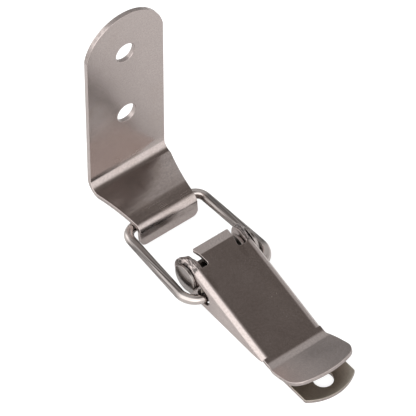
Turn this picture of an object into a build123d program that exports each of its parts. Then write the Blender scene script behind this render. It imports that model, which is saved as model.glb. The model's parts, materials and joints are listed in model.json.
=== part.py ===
"""Over centre toggle latch: base plate, lever, pivot rivet, wire bail and hooked keeper.

Frame: X across the latch, Y from the thumb end towards the keeper, Z up from the
mounting face of the base plate. The pivot axis of the lever stands above the origin.
All sizes are in millimetres and degrees.
"""
from build123d import *
import os
from math import acos, atan2, cos, degrees, hypot, radians, sin, sqrt, tan

# ---------------------------------------------------------------- sheet and wire stock
latch_sheet = 1.2               # sheet of the base plate and of the lever
keeper_sheet = 1.5              # sheet of the keeper
wire_diameter = 3.0             # round wire of the bail
wire_end_break = 0.4            # chamfer on the cut wire ends

# ---------------------------------------------------------------- pivot rivet
pivot_height = 8.4              # pivot axis above the mounting face
shank_diameter = 5.0
ear_hole_clearance = 0.03       # radial, rivet in the ears
flange_hole_clearance = 0.08    # radial, rivet in the lever flanges
head_diameter = 8.8
head_rim = 0.95                 # straight side of a button head
head_crown = 0.5                # rise of the crowned face over the rim
head_gap = 0.1                  # side play between a flange and a rivet head

# ---------------------------------------------------------------- base plate
ear_fold_inside = 0.8           # inside radius of the folds at the ears
tail_step = 2.7                 # each side of the tail stands out this much past the neck
tail_length = 54.5              # pivot axis to the end of the rounded tail
tail_end_radius = 14.5
tail_corner = 0.8
neck_start = 11.0               # pivot axis to the shoulders of the narrower front
shoulder_radius = 1.0
nose_length = 7.0               # pivot axis to the front end
nose_radius = 3.0
base_hole_diameter = 6.0
base_hole_spacing = 32.0
tail_hole_inset = 6.2           # end of the tail to the centre of its hole
ear_side_gap = 1.4              # outer face of an ear to the inner face of a flange
ear_top_gap = 0.24              # round top of an ear to the underside of the lever

# ---------------------------------------------------------------- lever
lever_width = 21.8
flange_fold_inside = 1.3        # inside radius of the folds along the flanges
lobe_radius = 6.0               # round front end of a flange, about the pivot axis
top_offset = 5.54               # pivot axis to the top face, square to the face
stop_gap = 0.45                 # thumb fold over the base plate with the latch closed
thumb_bend = 36.9               # foot of the pivot on the top face to the thumb fold
lip_bend = 2.3                  # the same foot to the fold of the front lip
relief_gap = 2.9                # end of the flanges to the thumb fold
slot_end = 1.55                 # the same foot to the closed ends of the slots
lip_length = 3.05
lip_slope = 5.0                 # the lip falls this much towards the keeper
lip_width = 13.0
lip_corner = 0.5
lip_fold_inside = 0.8
tongue_width = 10.6             # between the closed ends of the slots
slot_margin = 2.45              # outer face of a flange to the slot
slot_corner = 0.8
thumb_fold_inside = 5.0
thumb_fold_width = 20.6
tab_slope = 20.0                # the thumb tab rises this much towards its end
tab_length = 15.0               # thumb fold to the end of the tab
tab_flare = 7.6                 # thumb fold to the end of the flared sides
tab_flare_width = 22.4
tab_width = 22.6
tab_side_length = 12.2          # thumb fold to the corners of the tab
tab_corner = 5.0
tab_flare_start = (0.4, 1)      # run of the flared side, out and along, at the fold
tab_flare_end = (0.03, 1)       # the same where the flare ends

# ---------------------------------------------------------------- bail
wire_back = 7.2                 # wire ends behind the pivot axis
wire_drop = 2.8                 # wire ends below the pivot axis
bail_reach = 33.7               # wire ends to the cross wire
leg_gap = 1.35                  # rivet head to a leg, at the wire ends
leg_taper = 1.9                 # each leg comes in this much towards the cross wire
bail_root_radius = 5.5          # centre line radius of the bends at the lever
bail_front_radius = 4.0         # centre line radius of the bends at the keeper
wire_inside = 2.6               # wire past the inner face of a flange
wire_hole_play = 2.3            # hole diameter over the wire diameter
wire_hole_back = 0.25           # hole centre behind the wire
wire_hole_up = 0.9              # hole centre above the wire

# ---------------------------------------------------------------- keeper
keeper_width = 27.0
wire_to_plate = 15.6            # centre of the cross wire to the front face of the plate
web_gap = 0.29                  # cross wire to the underside of the web
web_slope = 9.0                 # the web falls this much towards the lip
hook_gap = 0.76                 # cross wire to the back of the lip, level with its fold
hook_clear = 0.96               # mounting face to the lower edge of the lip
hook_lean = 5.0                 # the lip's lower edge leans towards the lever
hook_side_gap = 1.5             # side of the lip to a leg of the bail
hook_corner = 2.0
plate_fold_inside = 3.0
hook_fold_inside = 1.6
plate_height = 62.9             # fold of plate and web to the top of the plate
plate_top_ease = 0.2            # radius of the round top over half the width
keeper_hole_diameter = 6.5
keeper_hole_spacing = 25.0
first_hole_height = 22.9        # fold of plate and web to the lower hole
web_waist = 0.4                 # the web's sides curve in this far from a straight line

past_all = 100.0                # cutting length that clears every piece
match = 0.01                    # two places this close are the same one

# ---------------------------------------------------------------- worked-out sizes
ear_fold_outside = ear_fold_inside + latch_sheet
flange_inside = lever_width / 2 - latch_sheet
ear_outside = 2 * (flange_inside - ear_side_gap)
ear_radius = top_offset - latch_sheet - ear_top_gap
neck_width = ear_outside - 2 * ear_fold_outside
tail_width = neck_width + 2 * tail_step
lobe_bottom = pivot_height - lobe_radius
slot_outside = lever_width - 2 * slot_margin
relief = thumb_bend - relief_gap
head_start = lever_width / 2 + head_gap
crown_start = head_start + head_rim
crown_end = crown_start + head_crown
wire_hole_diameter = wire_diameter + wire_hole_play
bail_root_width = 2 * (crown_end + leg_gap) + wire_diameter
bail_front_width = bail_root_width - 2 * leg_taper
hook_width = bail_front_width - wire_diameter - 2 * hook_side_gap
plate_top_radius = keeper_width / 2 + plate_top_ease

# The closed lever slopes until its thumb fold stands the stop gap over the base plate.
thumb_height = 2 * latch_sheet + stop_gap
thumb_turn = acos((thumb_height - pivot_height) / hypot(top_offset, thumb_bend))
top_slope = degrees(thumb_turn - atan2(thumb_bend, top_offset))

# ---------------------------------------------------------------- side-view places
# They are (Y, Z). The top face of the lever runs along `along`.
along = Vector(cos(radians(top_slope)), sin(radians(top_slope)))
outward = Vector(-sin(radians(top_slope)), cos(radians(top_slope)))
pivot = Vector(0, pivot_height)
foot = pivot + outward * top_offset
lip_fold = foot + along * lip_bend
lip_tip = lip_fold + Vector(cos(radians(lip_slope)), -sin(radians(lip_slope))) * lip_length
thumb_fold = foot - along * thumb_bend
tab_tip = thumb_fold + Vector(-cos(radians(tab_slope)), sin(radians(tab_slope))) * tab_length
slot_place = foot - along * slot_end
relief_place = foot - along * relief
wire_end = pivot - Vector(wire_back, wire_drop)
wire_hole = wire_end + Vector(-wire_hole_back, wire_hole_up)
cross_wire = wire_end + Vector(bail_reach, 0)
web_over_wire = (wire_diameter / 2 + web_gap + keeper_sheet) / cos(radians(web_slope))
web_rise = tan(radians(web_slope))
plate_fold = cross_wire + Vector(wire_to_plate, web_over_wire + web_rise * wire_to_plate)
plate_top = plate_fold + Vector(0, plate_height)
lip_place = wire_diameter / 2 + hook_gap + keeper_sheet
hook_fold = cross_wire + Vector(-lip_place, web_over_wire - web_rise * lip_place)
hook_drop = hook_fold.Y - hook_clear
hook_edge = hook_fold - Vector(tan(radians(hook_lean)) * hook_drop, hook_drop)

top_plane = Plane((0, foot.X, foot.Y), x_dir=(1, 0, 0), z_dir=(0, outward.X, outward.Y))
channel_plane = Plane(
    (0, relief_place.X, relief_place.Y),
    x_dir=(-1, 0, 0),
    z_dir=(0, along.X, along.Y),
)
tab_plane = Plane(
    (0, thumb_fold.X, thumb_fold.Y),
    x_dir=(-1, 0, 0),
    z_dir=(0, sin(radians(tab_slope)), cos(radians(tab_slope))),
)

# ================================================================ base plate
# One strip: rounded tail, narrower neck, and two ears folded up beside the neck.
tail_corner_y = tail_end_radius - tail_length - sqrt(tail_end_radius**2 - tail_width**2 / 4)
tail_hole_y = tail_hole_inset - tail_length
with BuildPart() as base_plate:
    with BuildSketch() as plate_outline:
        with BuildLine():
            right_side = Polyline(
                (0, nose_length),
                (neck_width / 2, nose_length),
                (neck_width / 2, -neck_start),
                (tail_width / 2, -neck_start),
                (tail_width / 2, tail_corner_y),
            )
            mirror(about=Plane.YZ)
            ThreePointArc(
                right_side @ 1,
                (0, -tail_length),
                (-tail_width / 2, tail_corner_y),
            )
        make_face()
        tail_corners = plate_outline.vertices().filter_by(
            lambda v: abs(v.Y - tail_corner_y) < match
        )
        fillet(tail_corners, radius=tail_corner)
        shoulders = plate_outline.vertices().filter_by(lambda v: abs(v.Y + neck_start) < match)
        fillet(shoulders, radius=shoulder_radius)
        nose_corners = plate_outline.vertices().filter_by(
            lambda v: abs(v.Y - nose_length) < match < abs(v.X)
        )
        fillet(nose_corners, radius=nose_radius)
    extrude(amount=latch_sheet)
    with BuildPart(mode=Mode.PRIVATE) as ears:
        with BuildSketch(Plane.XZ):
            with BuildLine():
                ear_fold = FilletPolyline(
                    (ear_outside / 2, pivot_height + ear_radius),
                    (ear_outside / 2, 0),
                    (-ear_outside / 2, 0),
                    (-ear_outside / 2, pivot_height + ear_radius),
                    radius=ear_fold_outside,
                )
                offset(ear_fold, amount=latch_sheet, side=Side.RIGHT)
            make_face()
        extrude(amount=ear_radius, both=True)
        with BuildSketch(Plane.YZ):
            with Locations((0, pivot_height)):
                Circle(ear_radius)
            with Locations((0, pivot_height / 2)):
                Rectangle(2 * ear_radius, pivot_height)
        extrude(amount=ear_outside, both=True, mode=Mode.INTERSECT)
    add(ears.part)
    with BuildSketch(Plane.YZ):
        with Locations((0, pivot_height)):
            Circle(shank_diameter / 2 + ear_hole_clearance)
    extrude(amount=ear_outside, both=True, mode=Mode.SUBTRACT)
    with Locations(
        (0, tail_hole_y, latch_sheet),
        (0, tail_hole_y + base_hole_spacing, latch_sheet),
    ):
        Hole(base_hole_diameter / 2)
base_plate.part.label = "base_plate"

# ================================================================ lever
# One folded sheet: a channel whose flanges end in round lobes at the pivot.
with BuildPart() as lever:
    with BuildSketch(channel_plane):
        with BuildLine():
            channel_fold = FilletPolyline(
                (lever_width / 2, -past_all),
                (lever_width / 2, 0),
                (-lever_width / 2, 0),
                (-lever_width / 2, -past_all),
                radius=flange_fold_inside + latch_sheet,
            )
            offset(channel_fold, amount=latch_sheet, side=Side.LEFT)
        make_face()
    extrude(amount=relief + lobe_radius)
    with BuildSketch(Plane.YZ):
        with Locations((0, pivot_height)):
            Circle(lobe_radius)
        with BuildLine():
            Polyline(
                (0, lobe_bottom),
                (-past_all, lobe_bottom),
                (-past_all, past_all),
                (foot.X, past_all),
                (foot.X, foot.Y),
                (0, pivot_height),
                (0, lobe_bottom),
            )
        make_face()
    extrude(amount=lever_width, both=True, mode=Mode.INTERSECT)

    # The top is open between the slots' outer sides, and the tongue stands in the gap.
    with BuildSketch(top_plane) as front_gap:
        with Locations((0, -slot_end)):
            Rectangle(slot_outside, past_all, align=(Align.CENTER, Align.MIN))
        fillet(front_gap.vertices().group_by(Axis.Y)[0], radius=slot_corner)
    extrude(amount=-2 * latch_sheet, mode=Mode.SUBTRACT)
    with BuildPart(mode=Mode.PRIVATE) as tongue:
        with BuildSketch(Plane.YZ):
            with BuildLine():
                tongue_fold = FilletPolyline(
                    slot_place - along * slot_corner,
                    lip_fold,
                    lip_tip,
                    radius=lip_fold_inside + latch_sheet,
                )
                offset(tongue_fold, amount=latch_sheet, side=Side.RIGHT)
            make_face()
        extrude(amount=slot_outside / 2, both=True)
        with BuildSketch(top_plane) as tongue_outline:
            with BuildLine():
                Polyline(
                    (-slot_outside / 2 + slot_corner, -slot_end - slot_corner),
                    (-slot_outside / 2 + slot_corner, -slot_end),
                    (-tongue_width / 2, -slot_end),
                    (-lip_width / 2, lip_bend + lip_length),
                    (lip_width / 2, lip_bend + lip_length),
                    (tongue_width / 2, -slot_end),
                    (slot_outside / 2 - slot_corner, -slot_end),
                    (slot_outside / 2 - slot_corner, -slot_end - slot_corner),
                    close=True,
                )
            make_face()
            root_corners = tongue_outline.vertices().filter_by(
                lambda v: abs(v.X) < slot_outside / 2 - slot_corner - match
            )
            fillet(root_corners.group_by(Axis.Y)[0], radius=slot_corner)
        extrude(amount=lobe_radius, both=True, mode=Mode.INTERSECT)
        tip_edges = tongue.faces().sort_by(Axis.Y)[-1].edges().sort_by(Axis.X)
        fillet([tip_edges[0], tip_edges[-1]], radius=lip_corner)
    add(tongue.part)

    # Thumb tab: a narrower fold, flared sides and a rounded end.
    with BuildPart(mode=Mode.PRIVATE) as tab:
        with BuildSketch(Plane.YZ):
            with BuildLine():
                tab_fold = FilletPolyline(
                    relief_place,
                    thumb_fold,
                    tab_tip,
                    radius=thumb_fold_inside,
                )
                offset(tab_fold, amount=latch_sheet, side=Side.LEFT)
            make_face()
        extrude(amount=tab_width / 2, both=True)
        with BuildSketch(tab_plane) as tab_outline:
            with BuildLine():
                fold_side = Polyline(
                    (0, -relief),
                    (thumb_fold_width / 2, -relief),
                    (thumb_fold_width / 2, 0),
                )
                flare = Spline(
                    fold_side @ 1,
                    (tab_flare_width / 2, tab_flare),
                    tangents=(tab_flare_start, tab_flare_end),
                )
                Line(flare @ 1, (tab_width / 2, tab_side_length))
                mirror(about=Plane.YZ)
                ThreePointArc(
                    (tab_width / 2, tab_side_length),
                    (0, tab_length),
                    (-tab_width / 2, tab_side_length),
                )
            make_face()
            tab_corners = tab_outline.vertices().filter_by(
                lambda v: abs(v.Y - tab_side_length) < match
            )
            fillet(tab_corners, radius=tab_corner)
        extrude(amount=lobe_radius, both=True, mode=Mode.INTERSECT)
    add(tab.part)

    # Holes through both flanges: the pivot rivet and the wire of the bail.
    with BuildSketch(Plane.YZ):
        with Locations(pivot):
            Circle(shank_diameter / 2 + flange_hole_clearance)
        with Locations(wire_hole):
            Circle(wire_hole_diameter / 2)
    extrude(amount=lever_width, both=True, mode=Mode.SUBTRACT)
lever.part.label = "lever"

# ================================================================ pivot rivet
# A plain shank with a low button head outside each flange.
crown_radius = (head_diameter**2 / 4 + head_crown**2) / (2 * head_crown)
with BuildPart() as pivot_rivet:
    with BuildSketch(Plane((0, 0, pivot_height), x_dir=(1, 0, 0), z_dir=(0, -1, 0))):
        with BuildLine():
            shank_side = Polyline(
                (0, 0),
                (0, shank_diameter / 2),
                (head_start, shank_diameter / 2),
                (head_start, head_diameter / 2),
                (crown_start, head_diameter / 2),
            )
            crown = RadiusArc(shank_side @ 1, (crown_end, 0), crown_radius)
            Line(crown @ 1, shank_side @ 0)
        make_face()
    revolve(axis=Axis((0, 0, pivot_height), (1, 0, 0)))
    mirror(about=Plane.YZ)
pivot_rivet.part.label = "pivot_rivet"

# ================================================================ bail
# One bent wire, a loop that is open between its two ends.
with BuildPart() as bail:
    with BuildLine(Plane.XY.offset(wire_end.Y)) as bail_line:
        FilletPolyline(
            (wire_inside - flange_inside, wire_end.X),
            (-bail_root_width / 2, wire_end.X),
            (-bail_front_width / 2, cross_wire.X),
            (bail_front_width / 2, cross_wire.X),
            (bail_root_width / 2, wire_end.X),
            (flange_inside - wire_inside, wire_end.X),
            radius=[
                bail_root_radius,
                bail_front_radius,
                bail_front_radius,
                bail_root_radius,
            ],
        )
    with BuildSketch(Plane(bail_line.line @ 0, z_dir=bail_line.line % 0)):
        Circle(wire_diameter / 2)
    sweep()
    cut_ends = bail.faces().filter_by(Plane.YZ)
    chamfer(cut_ends.edges(), length=wire_end_break)
bail.part.label = "bail"

# ================================================================ keeper
# One folded strip: tall plate, level web and a lip that the bail hooks behind.
plate_corner_z = plate_top.Y - plate_top_radius + sqrt(plate_top_radius**2 - keeper_width**2 / 4)
lip_root_z = hook_fold.Y - hook_fold_inside - keeper_sheet
first_hole_z = plate_fold.Y + first_hole_height
web_back = plate_fold.X - plate_fold_inside
web_front = hook_fold.X + keeper_sheet
web_middle_width = (hook_width + keeper_width) / 2 - 2 * web_waist
with BuildPart() as keeper:
    with BuildSketch(Plane.YZ):
        with BuildLine():
            keeper_fold = FilletPolyline(
                plate_top,
                plate_fold,
                hook_fold,
                hook_edge,
                radius=[plate_fold_inside, hook_fold_inside + keeper_sheet],
            )
            offset(keeper_fold, amount=keeper_sheet, side=Side.LEFT)
        make_face()
    extrude(amount=keeper_width / 2, both=True)

    # Seen from the latch: round top, full width down to the web, rounded lip below it.
    with BuildSketch(Plane.XZ) as front_view:
        with BuildLine():
            Polyline(
                (keeper_width / 2, plate_corner_z),
                (keeper_width / 2, lip_root_z),
                (hook_width / 2, lip_root_z),
                (hook_width / 2, hook_edge.Y),
                (0, hook_edge.Y),
            )
            mirror(about=Plane.YZ)
            ThreePointArc(
                (-keeper_width / 2, plate_corner_z),
                (0, plate_top.Y),
                (keeper_width / 2, plate_corner_z),
            )
        make_face()
        lip_corners = front_view.vertices().filter_by(
            lambda v: abs(v.Y - hook_edge.Y) < match < abs(v.X)
        )
        fillet(lip_corners, radius=hook_corner)
        with Locations((0, first_hole_z), (0, first_hole_z + keeper_hole_spacing)):
            Circle(keeper_hole_diameter / 2, mode=Mode.SUBTRACT)
    extrude(amount=-past_all, mode=Mode.INTERSECT)

    # Seen from above: the web narrows from the plate to the lip with curved sides.
    with BuildSketch() as top_view:
        with BuildLine():
            lip_side = Polyline(
                (0, hook_edge.X - keeper_sheet),
                (hook_width / 2, hook_edge.X - keeper_sheet),
                (hook_width / 2, web_front),
            )
            web_side = ThreePointArc(
                lip_side @ 1,
                (web_middle_width / 2, (web_front + web_back) / 2),
                (keeper_width / 2, web_back),
            )
            Polyline(
                web_side @ 1,
                (keeper_width / 2, plate_fold.X + keeper_width),
                (0, plate_fold.X + keeper_width),
            )
            mirror(about=Plane.YZ)
        make_face()
    extrude(amount=past_all, mode=Mode.INTERSECT)
keeper.part.label = "keeper"

os.makedirs("parts", exist_ok=True)
export_step(base_plate.part, "parts/base_plate.step")
export_step(lever.part, "parts/lever.step")
export_step(pivot_rivet.part, "parts/pivot_rivet.step")
export_step(bail.part, "parts/bail.step")
export_step(keeper.part, "parts/keeper.step")
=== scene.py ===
"""Looks of the over centre toggle latch: satin stainless sheet and drawn wire on a pale floor."""
import json
from math import cos, radians, sin
from typing import NamedTuple

import bmesh
import bpy
from bpy.props import FloatProperty, FloatVectorProperty, PointerProperty
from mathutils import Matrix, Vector


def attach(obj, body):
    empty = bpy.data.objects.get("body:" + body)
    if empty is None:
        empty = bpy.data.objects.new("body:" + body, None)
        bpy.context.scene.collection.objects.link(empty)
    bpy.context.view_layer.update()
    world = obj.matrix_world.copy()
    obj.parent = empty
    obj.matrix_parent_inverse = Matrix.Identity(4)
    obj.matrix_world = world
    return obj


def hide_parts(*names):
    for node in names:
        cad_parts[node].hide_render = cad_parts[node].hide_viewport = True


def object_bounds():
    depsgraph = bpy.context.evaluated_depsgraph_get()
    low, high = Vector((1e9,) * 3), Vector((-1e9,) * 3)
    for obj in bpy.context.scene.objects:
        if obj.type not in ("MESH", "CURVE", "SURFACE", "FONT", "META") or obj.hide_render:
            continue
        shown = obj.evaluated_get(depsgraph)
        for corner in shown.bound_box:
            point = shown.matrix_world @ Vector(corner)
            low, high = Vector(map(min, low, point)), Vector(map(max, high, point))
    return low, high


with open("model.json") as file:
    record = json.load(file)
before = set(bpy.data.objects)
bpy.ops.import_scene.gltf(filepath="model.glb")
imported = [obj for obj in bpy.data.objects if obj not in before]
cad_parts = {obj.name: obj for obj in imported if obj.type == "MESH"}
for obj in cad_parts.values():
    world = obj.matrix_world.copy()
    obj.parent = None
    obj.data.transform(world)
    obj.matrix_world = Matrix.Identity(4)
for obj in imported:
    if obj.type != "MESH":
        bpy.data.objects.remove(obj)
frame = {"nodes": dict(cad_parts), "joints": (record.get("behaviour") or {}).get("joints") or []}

bl_info = {
    "name": "Toggle latch looks",
    "version": (1, 0, 0),
    "blender": (4, 5, 0),
    "location": "View3D > Sidebar > Latch",
    "description": "Dresses the toggle latch in satin stainless steel and lights it",
    "category": "Object",
}

CAD_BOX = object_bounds()
BODY_OF = {"base_plate": "base", "pivot_rivet": "base", "keeper": "base", "lever": "lever", "bail": "bail"}

# ------------------------------------------------------------------ sizes of the shapes, in metres
MM = 0.001
LATCH_SHEET = 1.2 * MM
KEEPER_SHEET = 1.5 * MM
SEAM = 0.0005 * MM  # points this close are one point
SHORT_EDGE = 0.06 * MM  # an edge this short is closed, because it would spoil the rounding
LONGEST_CUT = 40 * MM  # a cut face has less area than this length of sheet
SHEET_SLACK = 0.02  # how far the side of a cut face may be off, as a share of the sheet
FLAT_ANGLE = radians(0.4)  # triangles that meet at less are one face
CORNER_ANGLE = radians(35)  # outer edges that turn by more are rounded
CREASE_ANGLE = radians(40)  # edges that turn by more stay sharp
ROUNDING_STEPS = 2
ROUND_PROFILE = 0.5
FACE_WEIGHT = 100

# ------------------------------------------------------------------ places on the latch, in millimetres
# A pair is the start and the end of a soft step along X, Y or Z of the frame.
LEVER_HINGE = next(joint for joint in frame["joints"] if joint["name"] == "lever_hinge")
PIVOT_HEIGHT = LEVER_HINGE["pos_m"][2] / MM
# Painted shade: how far the darkened recess round the pivot reaches, and its sides between the flanges.
PIVOT_SHADE_REACH = (4.8, 5.3)
PIVOT_SHADE_SIDE = (9.4, 9.7)
CRUSHED_FRONT = (-3.4, -2.6)
CRUSHED_SIDE = (8.2, 8.8)
CRUSHED_TOP = (10.5, 12.0)
TAB_FOLD = (-39.5, -36.5)
TAB_CUP = (-26.0, 3.0)
TAB_CUP_HEIGHT = 2.6
LEG_START = (-4.0, -1.5)
LEG_END = (21.5, 24.0)
GROOVE_HEIGHT = 0.20
WEB_RISE = (23.4, 29.2)
WEB_RISE_HEIGHT = 0.62
HOOK_FOLD = (3.0, 7.6)
HOOK_FOLD_HEIGHT = 1.04
PLATE_FOLD = (11.0, 16.3)
PLATE_FOLD_HEIGHT = 1.15
PRESSED_TOP = (13.0, 24.0)
PRESSED_SHARE = 0.85
PRESSED_HEIGHT = 0.22

# ------------------------------------------------------------------ what the marks do to the steel
# A tint multiplies the steel's colour, and a share is how much of that tint shows. Relief is a share
# of RELIEF_DISTANCE on the faces and of EDGE_DISTANCE on the sheared edges.
NOISE_MIDDLE = 0.5
GRAIN_RUN = 0.02
LINE_TINTS = (0.95, 1.05)
LINE_ROUGHNESS = 0.10
LINE_RELIEF = 0.25
MOTTLE_SHARE = 0.4
KEEPER_MOTTLE_SHARE = 0.5
MOTTLE_TINT = 0.72
MOTTLE_RELIEF = 0.3
CLOUD_SHARE = 0.35
CLOUD_TINT = 0.88
CLOUD_ROUGHNESS = 0.12
CLOUD_RELIEF = 0.3
STAIN_SHARE = 0.35
STAIN_TINT = (0.80, 0.74, 0.66)
STAIN_ROUGHNESS = 0.06
SPECK_SHARE = 0.35
SPECK_TINT = 0.62
SCRATCH_POLISH = 0.05
SCRATCH_DEPTH = 0.35
# Painted shade: the recess round the pivot is darkened towards this near-black colour.
PIVOT_SHADE_SHARE = 0.85
PIVOT_SHADE_COLOUR = (0.035, 0.030, 0.026)
RELIEF_STRENGTH = 0.12
RELIEF_DISTANCE = 0.02 * MM
WAVE_DISTANCE = 0.25 * MM
BASE_DULLNESS = 0.16
# Painted shade: the creases of the crushed front folds are darkened in colour.
CREASE_SHADE_TINT = 0.22
CREASE_ROUGHNESS = 0.16
CREASE_RELIEF = 12.0
WIRE_POLISH = 0.06
# Painted highlight: the wire's bends are lightened in colour.
WIRE_BEND_HIGHLIGHT_TINT = 1.5
WIRE_LEG_TINTS = (0.95, 0.42)
WIRE_LEG_ROUGHNESS = 0.14
EDGE_TINT = 0.86
EDGE_LINE_SHARE = 0.4
EDGE_LINE_TINT = 0.55
EDGE_LINE_ROUGHNESS = 0.06
EDGE_LINE_RELIEF = 0.6
TORN_SHARE = 0.6
TORN_TINT = 0.62
TORN_ROUGHNESS = 0.14
TORN_RELIEF = 0.4
EDGE_ROUGHNESS = 0.30
EDGE_STRENGTH = 0.35
EDGE_DISTANCE = 0.04 * MM

# ------------------------------------------------------------------ studio
# A pair is the start and the end of a soft step over the direction's X, Y or height. A level of 1 is
# white, and each loss or gain is added to it.
LIGHT_LEVEL = 0.68
GAP_BACK = (0.07, 0.27)
GAP_FRONT = (0.30, 0.60)
GAP_HEIGHT = (0.45, 0.7)
GAP_LEFT = (-0.15, 0.20)
GAP_RIGHT = (0.55, 0.80)
GAP_LOSS = 0.51
GAP_TINT = (1.0, 0.89, 0.82)
BACK_WALL = (0.3, 0.7)
BACK_WALL_TOP = (0.15, 0.5)
BACK_WALL_LEFT = (0.0, 0.35)
BACK_WALL_LOSS = 0.47
SIDE_LIGHT = (0.15, 0.45)
SIDE_LIGHT_HEIGHT = (-0.05, 0.2)
SIDE_LIGHT_GAIN = 1.4
FRONT_LIGHT = (0.40, 0.70)
FRONT_LIGHT_GAIN = 0.85
WHITE = (1.0, 1.0, 1.0)
FLOOR_HALF = 3.0  # metres
FLOOR_DROP = 0.02 * MM
FLOOR_IN_METAL = 2.15  # times its colour
FLOOR_GLOW = 0.8
CAMERA_AIM = Vector((-0.29, 3.96, 27.33)) * MM
SENSOR_WIDTH = 36.0  # millimetres
CAMERA_REACH = 20.0  # metres

# Sockets of the Mix node when it mixes colours
MIX_FACTOR = 0
MIX_LOW = 6
MIX_HIGH = 7
MIX_RESULT = 2


# ------------------------------------------------------------------ patterns
class Pattern(NamedTuple):
    """A noise: marks per metre, octaves, roughness, the band of it that shows, how dense on X, Y, Z."""

    scale: float
    detail: float
    roughness: float
    band: tuple = (0.0, 1.0)
    density: tuple = (1.0, 1.0, 1.0)


GRAIN_LINES = Pattern(1.0, 2.0, 0.6, (0.3, 0.7))
MOTTLE = Pattern(1900.0, 2.0, 0.6, (0.35, 0.65))
CLOUDS = Pattern(140.0, 4.0, 0.55, (0.35, 0.75))
STAINS = Pattern(55.0, 5.0, 0.62, (0.54, 0.78), (1.0, 0.6, 0.8))
SPECKS = Pattern(1500.0, 1.0, 0.5, (0.76, 0.80))
SCRATCHES = Pattern(420.0, 1.0, 0.4, (0.665, 0.70), (1.0, 0.07, 0.5))
WAVES = Pattern(75.0, 1.0, 0.4)
CREASES = Pattern(3500.0, 2.0, 0.65, (0.40, 0.54), (1.0, 0.16, 0.20))
DIE_STREAKS = Pattern(1700.0, 1.0, 0.5, (0.38, 0.62), (1.0, 0.015, 1.0))
DIE_GROOVES = Pattern(1500.0, 1.0, 0.5, density=(1.0, 0.02, 1.0))
PRESS_MARKS = Pattern(150.0, 2.0, 0.5, density=(0.06, 1.0, 0.55))
EDGE_LINES = Pattern(1.0, 3.0, 0.65, (0.35, 0.7), (3600.0, 3600.0, 500.0))
TORN_METAL = Pattern(900.0, 3.0, 0.6, (0.45, 0.62))


# ------------------------------------------------------------------ settings
class LatchSteel(bpy.types.PropertyGroup):
    """Sizes and colours of the steel."""

    sheet_colour: FloatVectorProperty(
        name="Sheet colour",
        description="Colour of the rolled stainless sheet",
        subtype="COLOR",
        default=(0.475, 0.414, 0.394),
        min=0.0,
        max=1.0,
    )
    base_colour: FloatVectorProperty(
        name="Base plate colour",
        description="Colour of the base plate, a little yellower than the other sheet",
        subtype="COLOR",
        default=(0.45, 0.405, 0.345),
        min=0.0,
        max=1.0,
    )
    wire_colour: FloatVectorProperty(
        name="Wire colour",
        description="Colour of the drawn wire and of the rivet",
        subtype="COLOR",
        default=(0.33, 0.298, 0.283),
        min=0.0,
        max=1.0,
    )
    roughness: FloatProperty(
        name="Roughness",
        description="Mean roughness of the rolled face",
        subtype="FACTOR",
        default=0.22,
        min=0.05,
        max=0.9,
    )
    grain: FloatProperty(
        name="Grain",
        description="Width of one rolling line",
        unit="LENGTH",
        default=0.12 * MM,
        min=0.01 * MM,
        max=2.0 * MM,
    )
    edge_radius: FloatProperty(
        name="Edge radius",
        description="Rounding of the tumbled cut edges",
        unit="LENGTH",
        default=0.16 * MM,
        min=0.0,
        max=0.4 * MM,
    )


class LatchStudio(bpy.types.PropertyGroup):
    """Floor and camera."""

    floor_colour: FloatVectorProperty(
        name="Floor colour",
        description="Colour of the floor under the latch",
        subtype="COLOR",
        default=(0.42, 0.42, 0.42),
        min=0.0,
        max=1.0,
    )
    azimuth: FloatProperty(
        name="Azimuth",
        description="Camera heading, zero looks along +Y",
        subtype="ANGLE",
        default=radians(38.08),
    )
    elevation: FloatProperty(
        name="Elevation",
        description="Camera height over the horizon",
        subtype="ANGLE",
        default=radians(48.72),
    )
    distance: FloatProperty(
        name="Distance",
        description="Camera to the point it looks at",
        unit="LENGTH",
        default=1.1895,
    )
    lens: FloatProperty(
        name="Lens",
        description="Focal length on a 36 mm sensor, in millimetres",
        unit="CAMERA",
        default=363.5,
    )


# ------------------------------------------------------------------ shader maths
class Sock:
    """A shader socket that takes part in Python expressions."""

    def __init__(self, shader, socket):
        self.shader = shader
        self.socket = socket

    def _math(self, operation, *values):
        return self.shader.node("ShaderNodeMath", {"operation": operation}, dict(enumerate(values)))

    def __add__(self, other):
        return self._math("ADD", self, other)

    __radd__ = __add__

    def __sub__(self, other):
        return self._math("SUBTRACT", self, other)

    def __rsub__(self, other):
        return self._math("SUBTRACT", other, self)

    def __neg__(self):
        return 0 - self

    def __mul__(self, other):
        return self._math("MULTIPLY", self, other)

    __rmul__ = __mul__

    def __pow__(self, other):
        return self._math("POWER", self, other)

    def __abs__(self):
        return self._math("ABSOLUTE", self)

    def clamp(self):
        return self.shader.node("ShaderNodeClamp", {}, {"Value": self})

    def smooth(self, low, high):
        """0 below low, 1 above high, smooth between."""
        return self.shader.node(
            "ShaderNodeMapRange",
            {"interpolation_type": "SMOOTHSTEP"},
            {"Value": self, "From Min": low, "From Max": high},
        )


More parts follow.
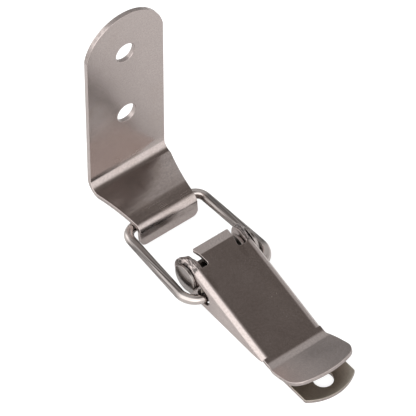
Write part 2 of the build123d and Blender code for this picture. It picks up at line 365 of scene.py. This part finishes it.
class Shader:
    """A material or world and the nodes that are added to it."""

    def __init__(self, owner):
        owner.use_nodes = True
        self.owner = owner
        self.tree = owner.node_tree
        self.tree.nodes.clear()

    def node(self, kind, settings, inputs, output=0):
        """Adds one node: settings first, then the values or links of its sockets."""
        made = self.tree.nodes.new(kind)
        for name, value in settings.items():
            setattr(made, name, value)
        for name, value in inputs.items():
            if isinstance(value, Sock):
                self.tree.links.new(value.socket, made.inputs[name])
            else:
                made.inputs[name].default_value = value
        return Sock(self, made.outputs[output]) if made.outputs else None

    def place(self, scale):
        """Object coordinates, scaled along each axis."""
        coords = self.node("ShaderNodeTexCoord", {}, {}, "Object")
        return self.node("ShaderNodeVectorMath", {"operation": "MULTIPLY"}, {0: coords, 1: scale})

    def parts(self, vector):
        """X, Y and Z of a vector."""
        return [self.node("ShaderNodeSeparateXYZ", {}, {"Vector": vector}, axis) for axis in "XYZ"]

    def millimetres(self):
        """X, Y and Z of the frame as three numbers in millimetres."""
        return self.parts(self.place((1 / MM, 1 / MM, 1 / MM)))

    def noise(self, pattern):
        """The pattern's whole noise, from 0 to 1."""
        return self.node(
            "ShaderNodeTexNoise",
            {"noise_dimensions": "3D"},
            {
                "Vector": self.place(pattern.density),
                "Scale": pattern.scale,
                "Detail": pattern.detail,
                "Roughness": pattern.roughness,
            },
        )

    def marks(self, pattern):
        """The band of the pattern's noise that shows."""
        return self.noise(pattern).smooth(*pattern.band)

    def mix(self, factor, low, high):
        """Colour mix: low where factor is 0, high where it is 1."""
        low, high = (c if isinstance(c, Sock) else rgba(c) for c in (low, high))
        inputs = {MIX_FACTOR: factor, MIX_LOW: low, MIX_HIGH: high}
        return self.node("ShaderNodeMix", {"data_type": "RGBA"}, inputs, MIX_RESULT)

    def bump(self, height, distance, strength=1.0, under=None):
        """The normal of a relief, on top of another one where it is given."""
        inputs = {"Strength": strength, "Distance": distance, "Height": height}
        if under is not None:
            inputs["Normal"] = under
        return self.node("ShaderNodeBump", {}, inputs)

    def metal(self, tone, rough, normal):
        """Links a bare metal surface to the output and gives the material."""
        surface = self.node(
            "ShaderNodeBsdfPrincipled",
            {},
            {"Base Color": tone, "Metallic": 1.0, "Roughness": rough.clamp(), "Normal": normal},
        )
        return self.finish(surface)

    def finish(self, surface):
        """Links the surface to the output and gives the material or world."""
        is_world = isinstance(self.owner, bpy.types.World)
        kind = "ShaderNodeOutputWorld" if is_world else "ShaderNodeOutputMaterial"
        self.node(kind, {}, {"Surface": surface})
        return self.owner


def rgba(colour):
    """An opaque colour for a socket."""
    return tuple(colour[:3]) + (1.0,)


def tinted(colour, factor):
    """A colour made lighter or darker, by one factor or by one each for red, green and blue."""
    factors = factor if isinstance(factor, tuple) else (factor,) * 3
    return tuple(min(1.0, part * by) for part, by in zip(colour, factors))


# ------------------------------------------------------------------ what rolling and drawing left
class Rolled(NamedTuple):
    """Marks that the rolling mill or the die left in the steel."""

    lines: Sock
    mottle: Sock
    clouds: Sock
    stains: Sock
    scratches: Sock


def rolled(s, grain, along):
    """The marks of steel whose grain runs along one axis of the frame: sparse that way, dense across."""
    across = 1.0 / grain
    density = tuple(across * (GRAIN_RUN if axis == along else 1.0) for axis in "XYZ")
    lines = s.noise(GRAIN_LINES._replace(density=density))
    return Rolled(lines, s.noise(MOTTLE), s.noise(CLOUDS), s.marks(STAINS), s.marks(SCRATCHES))


def rolled_tone(s, marks, colour, mottling=MOTTLE_SHARE):
    """Colour of the steel under its marks, with painted shade in the recess round the pivot."""
    dark, light = LINE_TINTS
    tone = s.mix(marks.lines.smooth(*GRAIN_LINES.band), tinted(colour, dark), tinted(colour, light))
    for mask, tint in (
        (marks.mottle.smooth(*MOTTLE.band) * mottling, MOTTLE_TINT),
        (marks.clouds.smooth(*CLOUDS.band) * CLOUD_SHARE, CLOUD_TINT),
        (marks.stains * STAIN_SHARE, STAIN_TINT),
        (s.marks(SPECKS) * SPECK_SHARE, SPECK_TINT),
    ):
        tone = s.mix(mask, tone, tinted(colour, tint))
    return s.mix(pivot_recess_shade(s) * PIVOT_SHADE_SHARE, tone, PIVOT_SHADE_COLOUR)


def rolled_roughness(marks, roughness):
    """Roughness that varies with the marks round its mean."""
    return (
        roughness
        + (marks.lines - NOISE_MIDDLE) * LINE_ROUGHNESS
        + (marks.clouds - NOISE_MIDDLE) * CLOUD_ROUGHNESS
        + marks.stains * STAIN_ROUGHNESS
        - marks.scratches * SCRATCH_POLISH
    )


def rolled_relief(marks):
    """Fine relief of the marks."""
    return (
        marks.lines * LINE_RELIEF
        + marks.mottle * MOTTLE_RELIEF
        - marks.scratches * SCRATCH_DEPTH
        + marks.clouds * CLOUD_RELIEF
    )


def wavy_face(s, relief):
    """The normal of a sheet or wire: its fine relief and its slight waves."""
    fine = s.bump(relief, RELIEF_DISTANCE, RELIEF_STRENGTH)
    return s.bump(s.noise(WAVES), WAVE_DISTANCE, under=fine)


def pivot_recess_shade(s):
    """1 on the hidden faces round the pivot, between the flanges, where the recess is darkened as painted
    shade.
    """
    x, y, z = s.millimetres()
    off_axis = (y * y + (z - PIVOT_HEIGHT) ** 2) ** 0.5
    return (1 - off_axis.smooth(*PIVOT_SHADE_REACH)) * (1 - abs(x).smooth(*PIVOT_SHADE_SIDE))


# ------------------------------------------------------------------ materials
def base_steel(steel):
    """The base plate's sheet, duller and yellower than the lever's."""
    s = Shader(bpy.data.materials.new("base_steel"))
    marks = rolled(s, steel.grain, "Y")
    return s.metal(
        rolled_tone(s, marks, steel.base_colour),
        rolled_roughness(marks, steel.roughness + BASE_DULLNESS),
        wavy_face(s, rolled_relief(marks)),
    )


def lever_steel(steel):
    """The lever's sheet: creased where its front folds were crushed, with painted shade in the creases and
    a slightly cupped tab.
    """
    s = Shader(bpy.data.materials.new("lever_steel"))
    x, y, z = s.millimetres()
    marks = rolled(s, steel.grain, "Y")
    crushed = y.smooth(*CRUSHED_FRONT) * abs(x).smooth(*CRUSHED_SIDE) * z.smooth(*CRUSHED_TOP)
    creases = s.marks(CREASES)
    # Painted shade: the creases of the crushed folds are darkened in colour.
    crease_shaded = s.mix(creases, steel.sheet_colour, tinted(steel.sheet_colour, CREASE_SHADE_TINT))
    face = wavy_face(s, rolled_relief(marks) + crushed * creases * CREASE_RELIEF)
    cupped = x.smooth(*TAB_CUP) * TAB_CUP_HEIGHT
    on_tab = 1 - y.smooth(*TAB_FOLD)
    return s.metal(
        s.mix(crushed, rolled_tone(s, marks, steel.sheet_colour), crease_shaded),
        rolled_roughness(marks, steel.roughness) + crushed * CREASE_ROUGHNESS,
        s.bump(cupped, MM, on_tab, face),
    )


def rivet_steel(steel):
    """The rivet's headed wire."""
    s = Shader(bpy.data.materials.new("rivet_steel"))
    marks = rolled(s, steel.grain, "X")
    return s.metal(
        rolled_tone(s, marks, steel.wire_colour),
        rolled_roughness(marks, steel.roughness),
        wavy_face(s, rolled_relief(marks)),
    )


def wire_steel(steel):
    """The bail's drawn wire: dull and grooved along its straight legs, with a painted highlight at its
    bends.
    """
    s = Shader(bpy.data.materials.new("wire_steel"))
    _, y, _ = s.millimetres()
    marks = rolled(s, steel.grain, "Y")
    on_leg = y.smooth(*LEG_START) * (1 - y.smooth(*LEG_END))
    light, dark = (tinted(steel.wire_colour, tint) for tint in WIRE_LEG_TINTS)
    streaked = s.mix(s.marks(DIE_STREAKS), light, dark)
    grooves = s.noise(DIE_GROOVES) * on_leg * GROOVE_HEIGHT
    # Off the legs, the bends get a painted highlight in their colour.
    return s.metal(
        s.mix(on_leg, tinted(steel.wire_colour, WIRE_BEND_HIGHLIGHT_TINT), streaked),
        rolled_roughness(marks, steel.roughness - WIRE_POLISH) + on_leg * WIRE_LEG_ROUGHNESS,
        s.bump(grooves, MM, under=wavy_face(s, rolled_relief(marks))),
    )


def keeper_steel(steel):
    """The keeper's sheet: grain across it, folds that run out softly and the press's marks."""
    s = Shader(bpy.data.materials.new("keeper_steel"))
    _, y, z = s.millimetres()
    marks = rolled(s, steel.grain, "X")
    run_out = (
        y.smooth(*WEB_RISE) * WEB_RISE_HEIGHT
        - z.smooth(*HOOK_FOLD) * HOOK_FOLD_HEIGHT
        - z.smooth(*PLATE_FOLD) * PLATE_FOLD_HEIGHT
    )
    pressed = (s.noise(PRESS_MARKS) - NOISE_MIDDLE) * (1 - z.smooth(*PRESSED_TOP) * PRESSED_SHARE)
    form = run_out + pressed * PRESSED_HEIGHT
    return s.metal(
        rolled_tone(s, marks, steel.sheet_colour, KEEPER_MOTTLE_SHARE),
        rolled_roughness(marks, steel.roughness),
        s.bump(form, MM, under=wavy_face(s, rolled_relief(marks))),
    )


def sheared_steel(name, colour):
    """Sheared edge of a sheet: fine lines across the thickness and a rough broken band."""
    s = Shader(bpy.data.materials.new(name))
    lines = s.noise(EDGE_LINES)
    torn = s.marks(TORN_METAL)
    tone = s.mix(torn * TORN_SHARE, tinted(colour, EDGE_TINT), tinted(colour, TORN_TINT))
    return s.metal(
        s.mix(lines.smooth(*EDGE_LINES.band) * EDGE_LINE_SHARE, tone, tinted(colour, EDGE_LINE_TINT)),
        EDGE_ROUGHNESS + torn * TORN_ROUGHNESS + lines * EDGE_LINE_ROUGHNESS,
        s.bump(lines * EDGE_LINE_RELIEF + torn * TORN_RELIEF, EDGE_DISTANCE, EDGE_STRENGTH),
    )


# ------------------------------------------------------------------ shapes
def is_cut_face(face, sheet):
    """Whether a face is the sheared edge of the sheet: small, and some side of it one sheet long."""
    if face.calc_area() >= LONGEST_CUT * sheet:
        return False
    slack = SHEET_SLACK * sheet
    return any(abs(e.calc_length() - sheet) < slack and len(e.link_faces) == 2 for e in face.edges)


def whole_faces(source):
    """The CAD node's mesh with the triangles of its flat faces joined and its slivers closed."""
    mesh = bmesh.new()
    mesh.from_mesh(source.data)
    bmesh.ops.remove_doubles(mesh, verts=mesh.verts, dist=SEAM)
    bmesh.ops.dissolve_limit(
        mesh,
        angle_limit=FLAT_ANGLE,
        verts=mesh.verts,
        edges=mesh.edges,
        use_dissolve_boundaries=False,
    )
    bmesh.ops.remove_doubles(mesh, verts=mesh.verts, dist=SHORT_EDGE)
    return mesh


def rounded_copy(node, edge_radius, sheet):
    """The CAD node's own shape with its cut edges rounded, standing in for it."""
    mesh = whole_faces(frame["nodes"][node])
    for face in mesh.faces:
        face.material_index = int(is_cut_face(face, sheet))
    if edge_radius > 0:
        bmesh.ops.bevel(
            mesh,
            geom=[e for e in mesh.edges if e.is_convex and e.calc_face_angle() > CORNER_ANGLE],
            offset=edge_radius,
            offset_type="OFFSET",
            segments=ROUNDING_STEPS,
            profile=ROUND_PROFILE,
            affect="EDGES",
            clamp_overlap=False,
        )
    data = bpy.data.meshes.new(node + "_shape")
    mesh.to_mesh(data)
    mesh.free()
    for polygon in data.polygons:
        polygon.use_smooth = True
    data.set_sharp_from_angle(angle=CREASE_ANGLE)
    piece = bpy.data.objects.new(node + "_steel", data)
    bpy.context.scene.collection.objects.link(piece)
    weighted = piece.modifiers.new("flat_faces", "WEIGHTED_NORMAL")
    weighted.weight = FACE_WEIGHT
    weighted.keep_sharp = True
    return piece


def dress(node, material, edge_radius, sheet=0.0):
    """Puts the rounded copy in the place of its node and gives it its steel."""
    piece = rounded_copy(node, edge_radius, sheet)
    piece.data.materials.append(material)
    if sheet:
        edge_colour = bpy.context.scene.latch_steel.sheet_colour
        piece.data.materials.append(sheared_steel(node + "_edge", edge_colour))
    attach(piece, BODY_OF[node])
    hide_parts(node)


# ------------------------------------------------------------------ stage
def seen_straight(s):
    """1 where the camera looks at it, straight or through glass."""
    camera, through = (
        s.node("ShaderNodeLightPath", {}, {}, ray) for ray in ("Is Camera Ray", "Is Transmission Ray")
    )
    return (camera + through).clamp()


def pale_floor(colour):
    """A plain floor just under the latch: white to the camera, pale where metal mirrors it."""
    s = Shader(bpy.data.materials.new("floor_paint"))
    in_metal = s.node("ShaderNodeLightPath", {}, {}, "Is Glossy Ray")
    tone = s.mix(in_metal, colour, tinted(colour, FLOOR_IN_METAL))
    paint = s.node("ShaderNodeBsdfDiffuse", {}, {"Color": tone, "Roughness": 0.0})
    glow = s.node(
        "ShaderNodeEmission", {}, {"Color": rgba(WHITE), "Strength": seen_straight(s) * FLOOR_GLOW}
    )
    look = s.finish(s.node("ShaderNodeAddShader", {}, {0: paint, 1: glow}))
    corners = [(x * FLOOR_HALF, y * FLOOR_HALF, 0) for x, y in ((-1, -1), (1, -1), (1, 1), (-1, 1))]
    mesh = bpy.data.meshes.new("floor")
    mesh.from_pydata(corners, [], [(0, 1, 2, 3)])
    mesh.materials.append(look)
    floor = bpy.data.objects.new("floor", mesh)
    floor.location.z = CAD_BOX[0][2] - FLOOR_DROP
    bpy.context.scene.collection.objects.link(floor)
    return floor


def studio_world():
    """Plain studio light by direction: an unlit gap overhead, a dark low wall, two bright sides."""
    s = Shader(bpy.data.worlds.new("studio"))
    x, y, height = s.parts(s.node("ShaderNodeTexCoord", {}, {}, "Generated"))
    gap = (1 - y.smooth(*GAP_BACK)) * (1 - (-y).smooth(*GAP_FRONT)) * height.smooth(*GAP_HEIGHT)
    gap = gap * x.smooth(*GAP_LEFT) * (1 - x.smooth(*GAP_RIGHT))
    back_wall = y.smooth(*BACK_WALL) * (1 - height.smooth(*BACK_WALL_TOP)) * x.smooth(*BACK_WALL_LEFT)
    side = (-x).smooth(*SIDE_LIGHT) * height.smooth(*SIDE_LIGHT_HEIGHT)
    front = (-y).smooth(*FRONT_LIGHT)
    level = LIGHT_LEVEL - gap * GAP_LOSS - back_wall * BACK_WALL_LOSS
    level = level + side * SIDE_LIGHT_GAIN + front * FRONT_LIGHT_GAIN
    straight = seen_straight(s)
    inputs = {
        "Color": s.mix(gap * (1 - straight), WHITE, GAP_TINT),
        "Strength": level * (1 - straight) + straight,
    }
    return s.finish(s.node("ShaderNodeBackground", {}, inputs))


def aimed_camera(studio):
    """The camera at its distance and angle, looking at the middle of the latch."""
    optics = bpy.data.cameras.new("camera")
    optics.lens = studio.lens
    optics.sensor_width = SENSOR_WIDTH
    optics.clip_end = CAMERA_REACH
    out = Vector(
        (
            -sin(studio.azimuth) * cos(studio.elevation),
            -cos(studio.azimuth) * cos(studio.elevation),
            sin(studio.elevation),
        )
    )
    camera = bpy.data.objects.new("camera", optics)
    camera.location = CAMERA_AIM + out * studio.distance
    camera.rotation_euler = (-out).to_track_quat("-Z", "Y").to_euler()
    bpy.context.scene.collection.objects.link(camera)
    return camera


# ------------------------------------------------------------------ operators
class LatchOperator(bpy.types.Operator):
    """What the latch's operators share."""

    bl_options = {"REGISTER", "UNDO"}


class LATCH_OT_base_plate(LatchOperator):
    """Dress the base plate in rolled sheet."""

    bl_idname = "latch.base_plate"
    bl_label = "Base plate"

    def execute(self, context):
        steel = context.scene.latch_steel
        dress("base_plate", base_steel(steel), steel.edge_radius, LATCH_SHEET)
        return {"FINISHED"}


class LATCH_OT_lever(LatchOperator):
    """Dress the folded lever in rolled sheet."""

    bl_idname = "latch.lever"
    bl_label = "Lever"

    def execute(self, context):
        steel = context.scene.latch_steel
        dress("lever", lever_steel(steel), steel.edge_radius, LATCH_SHEET)
        return {"FINISHED"}


class LATCH_OT_pivot_rivet(LatchOperator):
    """Dress the headed pivot rivet."""

    bl_idname = "latch.pivot_rivet"
    bl_label = "Pivot rivet"

    def execute(self, context):
        steel = context.scene.latch_steel
        dress("pivot_rivet", rivet_steel(steel), steel.edge_radius)
        return {"FINISHED"}


class LATCH_OT_bail(LatchOperator):
    """Dress the bent wire bail, which has no cut edges that show."""

    bl_idname = "latch.bail"
    bl_label = "Bail"

    def execute(self, context):
        dress("bail", wire_steel(context.scene.latch_steel), edge_radius=0.0)
        return {"FINISHED"}


class LATCH_OT_keeper(LatchOperator):
    """Dress the hooked keeper plate in rolled sheet."""

    bl_idname = "latch.keeper"
    bl_label = "Keeper"

    def execute(self, context):
        steel = context.scene.latch_steel
        dress("keeper", keeper_steel(steel), steel.edge_radius, KEEPER_SHEET)
        return {"FINISHED"}


class LATCH_OT_stage(LatchOperator):
    """Set up the floor, the light and the camera."""

    bl_idname = "latch.stage"
    bl_label = "Stage"

    def execute(self, context):
        studio = context.scene.latch_studio
        floor = pale_floor(studio.floor_colour)
        context.scene.world = studio_world()
        context.scene.camera = aimed_camera(studio)
        context.scene.view_settings.view_transform = "Standard"
        return {"FINISHED"}


class LATCH_PT_panel(bpy.types.Panel):
    """Sidebar panel with the latch's settings and steps."""

    bl_label = "Toggle latch"
    bl_idname = "LATCH_PT_panel"
    bl_space_type = "VIEW_3D"
    bl_region_type = "UI"
    bl_category = "Latch"

    def draw(self, context):
        for group in (context.scene.latch_steel, context.scene.latch_studio):
            box = self.layout.box()
            for name in group.__annotations__:
                box.prop(group, name)
        for operator in OPERATORS:
            self.layout.operator(operator.bl_idname)


OPERATORS = (
    LATCH_OT_base_plate,
    LATCH_OT_lever,
    LATCH_OT_pivot_rivet,
    LATCH_OT_bail,
    LATCH_OT_keeper,
    LATCH_OT_stage,
)
CLASSES = (LatchSteel, LatchStudio, *OPERATORS, LATCH_PT_panel)


def register():
    for item in CLASSES:
        bpy.utils.register_class(item)
    bpy.types.Scene.latch_steel = PointerProperty(type=LatchSteel)
    bpy.types.Scene.latch_studio = PointerProperty(type=LatchStudio)


def unregister():
    del bpy.types.Scene.latch_studio
    del bpy.types.Scene.latch_steel
    for item in reversed(CLASSES):
        bpy.utils.unregister_class(item)


def main():
    register()
    for operator in OPERATORS:
        group, name = operator.bl_idname.split(".")
        getattr(getattr(bpy.ops, group), name)()


if __name__ == "__main__":
    main()
